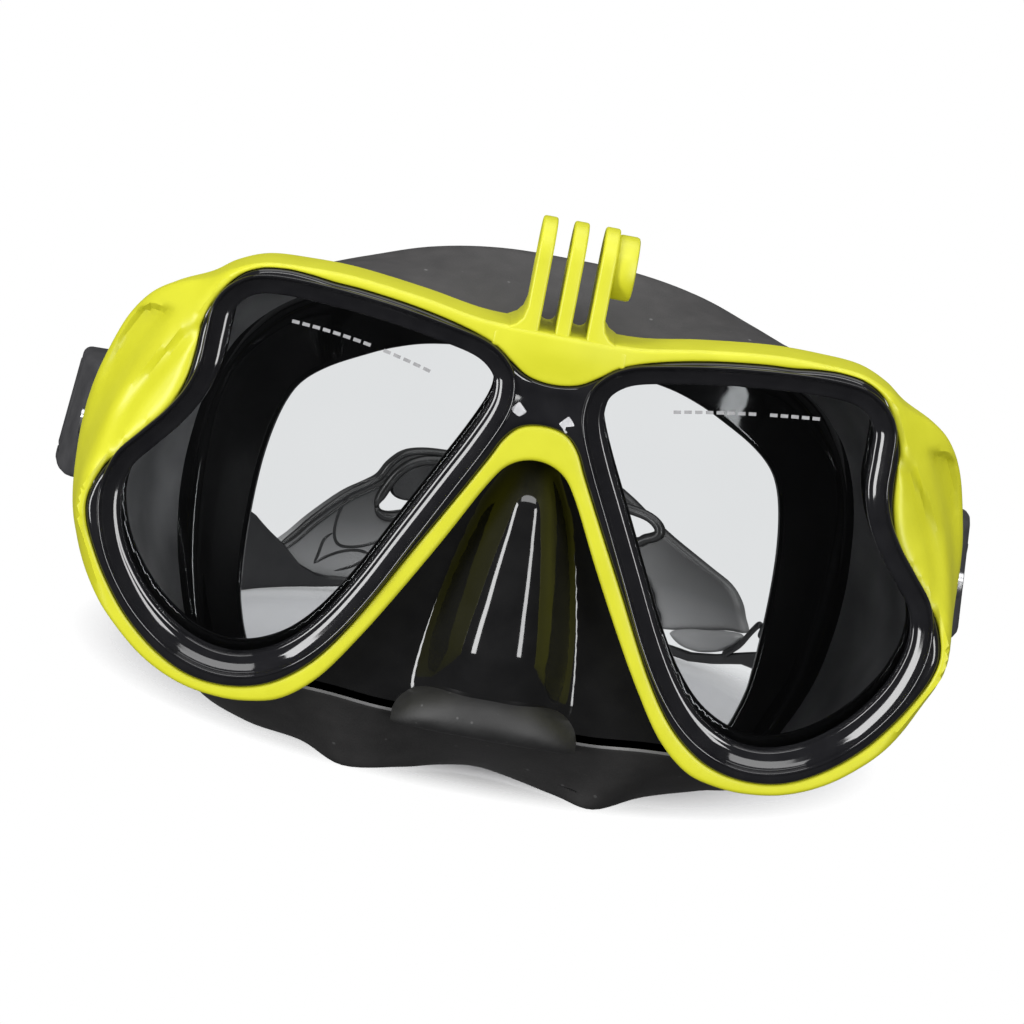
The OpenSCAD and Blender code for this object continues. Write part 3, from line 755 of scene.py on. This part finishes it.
# thick crescent that rolls forward under the nose pocket
CRESCENT = [(10.4, 26), (6, 25.8), (1.5, 25.0), (-1.6, 23.0), (-2.8, 20.2), (-2.2, 18.0),
            (-0.4, 16.6), (2.6, 15.4), (6, 14.6), (10.4, 14)]
crescent_rings = []
for x in 19.2 * np.sin(np.linspace(-math.pi / 2, math.pi / 2, 49)):
    s = math.sqrt(max(1 - (x / 19.4) ** 2, 0.0004))
    line = smooth_path([(10.4 - (10.4 - y) * s ** 0.8, 16.6 - 2.2 * (1 - s) + (z - 16.6) * s ** 0.8)
                        for y, z in CRESCENT], 3)
    crescent_rings.append([(x, y, z) for y, z in line])
crescent = loft("crescent_look", crescent_rings, "mask", CRESCENT_BLACK)

# ---------- strap ----------

STRAP_HALF = [(0, 171), (20, 169), (39, 162), (56, 149), (70, 131), (81, 108), (88.5, 84)]
strap_line = smooth_path(STRAP_HALF, 12)


def strap_y(x):
    return np.interp(np.abs(x), strap_line[:, 0], strap_line[:, 1])


def on_strap(p, depth):
    """Puts x, z and a depth toward the face onto the curved back of the strap."""
    x = p[:, 0]
    slope = (strap_y(x + 0.5) - strap_y(x - 0.5))
    n = np.sqrt(1 + slope ** 2)
    return np.c_[x + depth * slope / n, strap_y(x) - depth / n, p[:, 1]]


PAD = [
    (-53, 1.6), (-53.6, 6), (-52, 10), (-48.6, 13.3), (-44.7, 17.6), (-38.2, 23.6), (-33.2, 26.8),
    (-30.6, 28.8), (-28.8, 32), (-25.6, 35.1), (-21, 36.4), (-14, 36.7), (0, 36.9), (14, 36.9),
    (25, 36.7), (30, 34.7), (35, 31.6), (41.6, 27.9), (50.6, 24.1), (55.9, 22), (58.9, 19),
    (60.3, 15.8), (61.4, 12.6), (57.6, 11.2), (49, 7.5), (43.2, 5.6), (36, 4), (26, 2.6),
    (10, 1.6), (-10, 1.4), (-35, 1.2)
]
SPLIT = [
    (-29, 21.2), (-28.2, 24.2), (-25.6, 29.2), (-22, 32.2), (-16, 33.4), (0, 33.2), (18, 32.3),
    (29, 31.2), (34.6, 30.7), (37.2, 29.6), (37.8, 28.3), (35.5, 26.8), (31, 24.8), (10, 24),
    (-8, 24), (-16, 22.6), (-23, 20.6), (-27, 19.8)
]
OVAL = smooth_path([(-27, 29.6), (-31, 28), (-35.6, 25.6), (-38.2, 20), (-38.9, 15.5),
                    (-38.3, 12.2), (-36.4, 10.6), (-32.4, 10.8), (-28.6, 12.2), (-24, 14.8),
                    (-16, 18.4), (-5, 20.4), (10, 20.6), (24, 20)], 5)
NOTCH = smooth_path([(-39, 13.8), (-40.9, 12), (-41.7, 8.2), (-42.3, 5.8)], 5)
LEAF_TOP = smooth_path([(-42.3, 5.8), (-39.4, 7.9), (-35.7, 9.4), (-32, 9.8), (-29, 9)], 5)
LEAF_LOW = smooth_path([(-37.4, 4.2), (-33, 5.8), (-29.6, 8.2), (-26, 10.2), (-20, 12.6)], 5)
pad_loop = smooth_loop(PAD, 4)
split_loop = smooth_loop(SPLIT, 4)
pad_lines = [OVAL, NOTCH, LEAF_TOP, LEAF_LOW]


def pad_front(p):
    y = 1.1 - round_edge(distance(p, pad_loop), 1.0)
    rim = distance(p, split_loop)
    return y - round_edge(rim, 0.6)


def offsets(line, ds, closed=False):
    return [(grow(line, d) if d else line, closed) for d in ds]


pad_creases = offsets(pad_loop, (-0.3, -0.9), True) + offsets(split_loop, (0.3, 0.7), True)
pad = relief("strap_pad_look", pad_loop, [split_loop], pad_creases, pad_front,
             lambda p: np.full(len(p), -1.1), "strap_set", PAD_GREY_PAINTED_REFLECTION, spacing=0.8, smooth=50,
             place=on_strap)


def cord_line(name, line, depth, r, mat, flat_by=1.0):
    """A rounded moulded line lying on the curved back of the strap."""
    line = np.asarray(line, float)
    t = np.gradient(line, axis=0)
    t /= np.maximum(np.linalg.norm(t, axis=1), 1e-9)[:, None]
    n = np.c_[-t[:, 1], t[:, 0]]
    rings = []
    for k, (p, m) in enumerate(zip(line, n)):
        taper = min(1.0, 0.35 + 0.2 * min(k, len(line) - 1 - k))
        ring = []
        for a in np.linspace(0, 2 * math.pi, 10, endpoint=False):
            q = p + m * r * taper * math.cos(a)
            ring.append(on_strap(q[None], np.array([depth + r * taper * flat_by * math.sin(a)]))[0])
        rings.append(ring)
    loft(name, rings, "strap_set", mat, cap=True)


# near-black lines on the pad, partly the strap's own black and partly painted shade standing in for its
# grooves
for k, line in enumerate(pad_lines):
    cord_line("pad_line_look_%d" % k, line, 1.0, 0.42, DARK_LINE_AND_GROOVE_SHADE, 0.6)
rim_start = int(np.argmin(np.linalg.norm(pad_loop - (-52, 10), axis=1)))
rim_end = int(np.argmin(np.linalg.norm(pad_loop - (30, 34.7), axis=1)))
cord_line("pad_rim_look", grow(pad_loop, -0.6)[rim_start:rim_end], 1.0, 0.75, DARK_LINE_AND_GROOVE_SHADE)
cord_line("pad_inner_rim_look", grow(pad_loop, -2.3)[rim_start:rim_start + 26], 1.05, 0.35, DARK_LINE_AND_GROOVE_SHADE)
split_round = np.vstack([grow(split_loop, 0.9), grow(split_loop, 0.9)[:1]])
cord_line("split_rim_look", split_round, 1.2, 1.25, DARK_LINE_AND_GROOVE_SHADE)


RIBBON_EDGE = 0.45
RUN_T, END_T = 1.8, 2.0


def ribbon(name, path, low, high, thick):
    """A band standing on edge along a path of x, y, with its lower and upper heights."""
    path = np.array(path, float)
    t = np.gradient(path, axis=0)
    t /= np.linalg.norm(t, axis=1)[:, None]
    n = np.c_[t[:, 1], -t[:, 0]]
    rings = []
    h = thick / 2
    for p, m, lo, hi in zip(path, n, low, high):
        r = min(RIBBON_EDGE, RIBBON_EDGE * (hi - lo), 0.9 * h)
        prof = [(-h + r, lo), (h - r, lo), (h, lo + r), (h, hi - r), (h - r, hi), (-h + r, hi),
                (-h, hi - r), (-h, lo + r)]
        rings.append([(p[0] + m[0] * a, p[1] + m[1] * a, z) for a, z in prof])
    band = loft(name, rings, "strap_set", STRAP, cap=True, smooth=40)
    return band


# the strap from a buckle back to the pad, pulled toward the face as it nears the pad
run_line = smooth_path([(88.6, 84), (81, 108), (70, 131), (57.2, 146.8), (49.6, 153.8), (42, 159),
                        (33, 163.2), (22, 167.2)], 10)
run_y = run_line[:, 1].copy()
run_line[:, 1] -= 2.2 * ramp(run_y, 120, 146)
left_high = np.interp(run_y, [84, 108, 131, 146.8, 153.8, 157, 159.5, 161, 168],
                      [62, 46, 30, 18.6, 11.2, 6.4, 4.2, 3.6, 3.4])
left_low = np.interp(run_y, [84, 108, 122, 136, 146, 160, 163, 168],
                     [41, 22, 10, 2, 0.1, 0.8, 1.4, 2.2])
RIGHT_YS = [84, 108, 122, 131, 139.5, 146, 151, 168]
right_high = np.interp(run_line[:, 1], RIGHT_YS, [62, 46, 26, 13, 8.8, 5.4, 3.4, 2.8])
right_low = np.interp(run_line[:, 1], RIGHT_YS, [41, 22, 10, 6.2, 5.8, 2.9, 1.2, 0.6])
ribbon("left_strap_run_look", run_line * [-1, 1], left_low, left_high, RUN_T)
ribbon("right_strap_run_look", run_line, right_low, right_high, RUN_T)

SWING_X, SWING_Y, SWING_Z = 87, 38, 57.5
ROLLER_BACK = 17
CAD_SPLAY = 7


def buckle_plan(points, sign):
    """Points given from the roller's middle, in the buckle's own set-out direction."""
    a = math.radians(CAD_SPLAY)
    out = []
    for dx, dy in points:
        ly = ROLLER_BACK + dy
        out.append(((SWING_X + dx * math.cos(a) + ly * math.sin(a)) * sign,
                    SWING_Y - dx * math.sin(a) + ly * math.cos(a)))
    return out


STRAND = 2.9 + 0.4 + 1.1  # roller radius, gap and half the strap's thickness
END_YS = [66, 84, 96, 108]
for side, sign in (("left", -1), ("right", 1)):
    turn_pts = [(STRAND * math.cos(a), -STRAND * math.sin(a))
                for a in np.linspace(0, math.pi, 17)]
    path_in = buckle_plan([(-STRAND, 14), (-STRAND, 4)] + turn_pts[::-1]
                          + [(STRAND, 4), (STRAND, 10), (STRAND - 0.5, 16)], sign)
    loop_path = smooth_path([(76.5 * sign, 108), (80.6 * sign, 96), (84 * sign, 82)] + path_in
                            + [(92.4 * sign, 80), (89.8 * sign, 92)], 3)
    ys = loop_path[:, 1]
    band = ribbon(side + "_strap_end_look", loop_path, np.interp(ys, END_YS, [47.5, 41, 33, 24]),
                  np.interp(ys, END_YS, [67.5, 62, 54, 46]), END_T)
    if side == "left":
        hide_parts("head_strap")

# loose end of the strap near the pad on the right, with its curled tip
def strap_layer(name, points, steps, creases, front, edge, rear, mat, spacing, smooth=40):
    """A flat layer on the strap's curved back, with rounded rims."""
    loop = smooth_loop(points, steps)
    made = relief(name, loop, [], offsets(loop, creases, True),
                  lambda p: front - round_edge(distance(p, loop), edge),
                  lambda p: np.full(len(p), rear), "strap_set", mat, spacing=spacing,
                  smooth=smooth, place=on_strap)


# the tongue takes the pad's grey with its painted floor reflection
strap_layer("strap_tongue_look", [
    (46.6, 6.6), (50, 8.4), (54, 9.8), (58, 11.4), (61.6, 12.4), (62.4, 11.2), (60.4, 8.4),
    (57.4, 5.9), (53.4, 4.1), (49.8, 4.0), (47.2, 5.2)
], 6, (-0.3, -0.8, -1.5, -2.4), 4.2, 2.2, 1.4, PAD_GREY_PAINTED_REFLECTION, 0.6, smooth=None)
curl = smooth_path([(57.6, 6.6), (60.4, 10.2), (62.4, 14.6), (63.6, 16.8), (64.4, 16.4),
                    (64.2, 14.6)], 6)
curl_rings = []
for i, (x, z) in enumerate(curl):
    y0 = strap_y(np.array([x]))[0] - 4.4
    curl_rings.append([(x + 0.55 * math.cos(a), y0 + 1.2 * math.sin(a), z + 0.55 * math.sin(a))
                       for a in np.linspace(0, 2 * math.pi, 12, endpoint=False)])
curl_look = loft("strap_curl_look", curl_rings, "strap_set", STRAP, cap=True)
strap_layer("strap_flap_look", [
    (22, 19), (30, 19.6), (36.6, 17.8), (38.4, 16.6), (39.6, 15.1), (40.7, 13.6), (41.5, 11.4),
    (42.9, 9.4), (43.4, 7.6), (43.2, 6.2), (36, 4.6), (22, 3.6)
], 5, (-0.4, -1.0), 3.2, 0.6, 1.4, STRAP, 0.9)
strap_layer("strap_fold_look", [
    (-26.4, 25), (-25.6, 31.4), (-21, 34.6), (-8, 34.8), (6, 34.2), (4, 27), (-8, 24.6),
    (-18, 23.2), (-23.6, 22.8)
], 5, (-0.5, -1.2), -1.2, 0.5, -2.6, STRAP, 1.0)

# ---------- buckles ----------


def cut_away(obj, tools):
    for tool in tools:
        cut(obj, tool)
    finish_cuts(obj, tools)


BUCKLE_OUT = {"left": 7, "right": 3}
BUCKLE_LEAN = 0.1
SHELL_DROP, LEVER_DROP = 1.2, 1.1  # middles of the shell and the lever below the swing axis


def turned_out(obj, degrees):
    """Turns a piece of the right-hand buckle outward about its swing stud."""
    pivot = Vector(world(SWING_X, SWING_Y, 0))
    obj.data.transform(Matrix.Translation(pivot) @ Matrix.Rotation(-math.radians(degrees), 4, "Z")
                       @ Matrix.Translation(-pivot))


def lean(obj):
    """Leans a piece of the buckle so that its lower end stands further out."""
    for v in obj.data.vertices:
        v.co.x -= BUCKLE_LEAN * (v.co.z - SWING_Z * MM)


def to_left(obj):
    """Mirrors a piece of the right-hand buckle to the left."""
    obj.data.transform(Matrix.Scale(-1, 4, Vector((1, 0, 0))))
    obj.data.flip_normals()


def buckle_look(side, sign):
    """A rounded shell round the roller, open at the back, with an eye on the swing stud."""
    stations = [
        # y, inner x, outer x, half height
        (29.2, 84.2, 86.2, 4.2), (30.2, 84.2, 87.4, 6.4), (32.5, 84.2, 88.8, 8.4),
        (36, 84.2, 90.4, 10.2), (41, 84.2, 92.3, 11.8), (46, 83.6, 94.1, 12.6),
        (51, 82.6, 95.1, 12.8), (58, 82.4, 95.4, 12.8), (61.5, 82.6, 95.2, 12.5),
        (62.8, 83.2, 94.5, 11.8)
    ]
    table = np.array(stations)
    ys = np.r_[np.linspace(29.2, 33, 6), np.linspace(34.5, 60, 14), np.linspace(61, 62.8, 5)]
    rings = []
    for y in ys:
        x0, x1, h = [np.interp(y, table[:, 0], table[:, k]) for k in (1, 2, 3)]
        r = min(1.6, 0.45 * (x1 - x0))
        ring = []
        for cx, cz, a0 in ((x1 - r, h - r, 0), (x0 + r, h - r, 90), (x0 + r, -h + r, 180),
                           (x1 - r, -h + r, 270)):
            ring += [(cx + r * math.cos(math.radians(a0 + a)),
                      cz + r * math.sin(math.radians(a0 + a))) for a in (0, 22, 45, 67, 90)]
        middle = SWING_Z - SHELL_DROP * ramp(np.array(y), 34, 44)
        rings.append([(x, y, middle + z) for x, z in ring])
    obj = loft(side + "_buckle_look", rings, "strap_set", BUCKLE, cap=True)
    cavity = block("cavity", (24, 40, 20.4), (77.5, 69.4, SWING_Z), "strap_set", BUCKLE,
                   bevel=0.05, segments=1)
    lever_room = block("lever_room", (8, 30, 20.4), (96.9, 68.8, SWING_Z - LEVER_DROP),
                       "strap_set", BUCKLE, bevel=0.05, segments=1)
    cut_away(obj, [cavity, lever_room])
    turned_out(obj, BUCKLE_OUT[side])
    lean(obj)
    clear = disc("clear", 70, 83.9, SWING_Y, SWING_Z, 30, "strap_set", BUCKLE, bevel=0.05)
    eye = disc("eye", 60, 88.4, SWING_Y, SWING_Z, 3.1, "strap_set", BUCKLE, bevel=0.05, sides=40)
    cut_away(obj, [clear, eye])
    if sign < 0:
        to_left(obj)
    shade(obj)
    return obj


for side, sign in (("left", -1), ("right", 1)):
    look = buckle_look(side, sign)
    lever = block(side + "_release_lever_look", (2.2, 8.4, 19.8),
                  (94.2, 58.3, SWING_Z - LEVER_DROP), side + "_lever_body", BUCKLE, bevel=0.7,
                  segments=5)
    pin = block(side + "_lever_pin_look", (0.9, 0.9, 18.6), (94.0, 56.2, SWING_Z - LEVER_DROP),
                "strap_set", STEEL, bevel=0.2)
    for piece in (lever, pin):
        turned_out(piece, BUCKLE_OUT[side])
        lean(piece)
        if sign < 0:
            to_left(piece)
    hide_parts(side + "_buckle")
    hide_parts(side + "_release_lever")
    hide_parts(side + "_lever_pin")

# ---------- small marks printed on the glass ----------


DASH_L, DASH_H, MARKS_Y = 0.75, 0.35, 3.0  # half sizes of a dash, and its depth


def arc_marks(name, start, end, sag, count):
    """A row of plain dashes just behind the glass, with a gap near the middle."""
    verts, faces = [], []
    (x0, z0), (x1, z1) = start, end
    ang = math.atan2(z1 - z0, x1 - x0)
    gap = count // 2 + 1
    for i in range(count):
        if i == gap:
            continue
        t = (i + 0.5) / count
        cx, cz = x0 + (x1 - x0) * t, z0 + (z1 - z0) * t + sag * 4 * t * (1 - t)
        a = ang + sag * 4 * (1 - 2 * t) / math.hypot(x1 - x0, z1 - z0)
        k = len(verts)
        for u, v in ((-DASH_L, -DASH_H), (DASH_L, -DASH_H), (DASH_L, DASH_H), (-DASH_L, DASH_H)):
            verts.append((cx + u * math.cos(a) - v * math.sin(a), MARKS_Y,
                          cz + u * math.sin(a) + v * math.cos(a)))
        faces.append((k, k + 1, k + 2, k + 3))
    new_object(name, verts, faces, "mask", 40, PRINT)


arc_marks("left_lens_marks", (-53.4, 93.4), (-24.0, 88.4), 0.9, 14)
arc_marks("right_lens_marks", (24.6, 89.4), (54.2, 93.6), 0.4, 14)


# ---------- stage, light and camera ----------

def area_light(name, size, place, aim, power):
    light = bpy.data.lights.new(name, "AREA")
    light.shape = "RECTANGLE"
    light.size, light.size_y = size
    light.energy = power
    obj = bpy.data.objects.new(name, light)
    obj.location = world(*place)
    way = Vector(world(*aim)) - obj.location
    obj.rotation_euler = way.to_track_quat("-Z", "Y").to_euler()
    bpy.context.scene.collection.objects.link(obj)


area_light("key_left", (0.24, 1.0), (-720, -560, 130), (0, 0, 60), 11)
area_light("key_right", (0.22, 0.9), (540, -800, 200), (0, 0, 60), 8)
area_light("front_top", (0.9, 0.24), (0, -560, 900), (0, 0, 60), 3.6)
area_light("top", (1.0, 0.7), (0, 120, 1000), (0, 40, 60), 5)


def stage_disc(name, centre, radii, z, sides=64):
    """A patch of studio floor between the mask and its strap, fading out at its edge."""
    verts = [(*centre, z)]
    for a in np.linspace(0, 2 * math.pi, sides, endpoint=False):
        verts.append((centre[0] + radii[0] * math.cos(a), centre[1] + radii[1] * math.sin(a), z))
    faces = [(0, i + 1, (i + 1) % sides + 1) for i in range(sides)]
    mesh = bpy.data.meshes.new(name)
    mesh.from_pydata([world(*v) for v in verts], [], faces)
    obj = bpy.data.objects.new(name, mesh)
    bpy.context.scene.collection.objects.link(obj)
    mat, nt, shader = new_material("studio_floor")
    shader.inputs["Base Color"].default_value = (0.52, 0.52, 0.53, 1)
    shader.inputs["Roughness"].default_value = 0.6
    across = [r * MM for r in radii]
    middle = world(*centre, 0)
    shift = node(nt, "Mapping", {
        "Vector": coordinates(nt), "Scale": (1 / across[0], 1 / across[1], 1),
        "Location": (-middle[0] / across[0], -middle[1] / across[1], -middle[2])})
    length = node(nt, "VectorMath", {0: shift.outputs["Vector"]}, operation="LENGTH")
    fade = node(nt, "MapRange", {"Value": length.outputs["Value"], "From Min": 0.75,
                                 "From Max": 1.0})
    clear = node(nt, "BsdfTransparent")
    mix = node(nt, "MixShader", {"Fac": fade.outputs["Result"], 1: shader.outputs["BSDF"],
                                 2: clear.outputs["BSDF"]})
    nt.links.new(mix.outputs["Shader"], nt.nodes["Material Output"].inputs["Surface"])
    mesh.materials.append(mat)


stage_disc("floor_patch", (0, 98), (92, 84), -0.15)

studio = bpy.data.worlds.new("studio")
bpy.context.scene.world = studio
studio.use_nodes = True
nt = studio.node_tree
ray = node(nt, "LightPath").outputs
split = node(nt, "SeparateXYZ", {"Vector": node(nt, "TexCoord").outputs["Generated"]})
level = node(nt, "MapRange", {"Value": split.outputs["Z"], "From Min": -0.6, "From Max": 0.6})
sky = colours(nt, level.outputs["Result"], (0, (0.16, 0.16, 0.165)), (1, (0.70, 0.70, 0.71)))
soft = node(nt, "Mix", {"Factor": ray["Is Glossy Ray"], "A": sky, "B": (0.05, 0.05, 0.052, 1)},
            data_type="RGBA")
pick = node(nt, "Mix", {"Factor": ray["Is Camera Ray"], "A": soft.outputs["Result"],
                        "B": (*WHITE, 1)}, data_type="RGBA")
nt.links.new(pick.outputs["Result"], nt.nodes["Background"].inputs["Color"])

CAM_YAW, CAM_UP, CAM_ROLL = math.radians(-2.0), math.radians(13.0), math.radians(11.02)
CAM_FAR, CAM_SCALE = 850.0, 5.0  # distance, and image units to a millimetre at the lenses
IMAGE_SIZE, SENSOR = 1024, 36
back = Vector((math.sin(CAM_YAW) * math.cos(CAM_UP), -math.cos(CAM_YAW) * math.cos(CAM_UP),
               math.sin(CAM_UP)))
right = Vector((math.cos(CAM_YAW), math.sin(CAM_YAW), 0))
up = back.cross(right)
cam_right = right * math.cos(CAM_ROLL) + up * math.sin(CAM_ROLL)
cam_up = up * math.cos(CAM_ROLL) - right * math.sin(CAM_ROLL)
camera = bpy.data.objects.new("photo_camera", bpy.data.cameras.new("photo_camera"))
bpy.context.scene.collection.objects.link(camera)
bpy.context.scene.camera = camera
spot = Vector(world(-3.04, 0, 64)) + back * (CAM_FAR * MM)
turn = Matrix((cam_right, cam_up, back)).transposed().to_4x4()
camera.matrix_world = Matrix.Translation(spot) @ turn
camera.data.sensor_width = SENSOR
camera.data.lens = SENSOR * CAM_SCALE * CAM_FAR / IMAGE_SIZE
camera.data.clip_start, camera.data.clip_end = 0.05, 20

scene = bpy.context.scene
scene.view_settings.view_transform = "Standard"
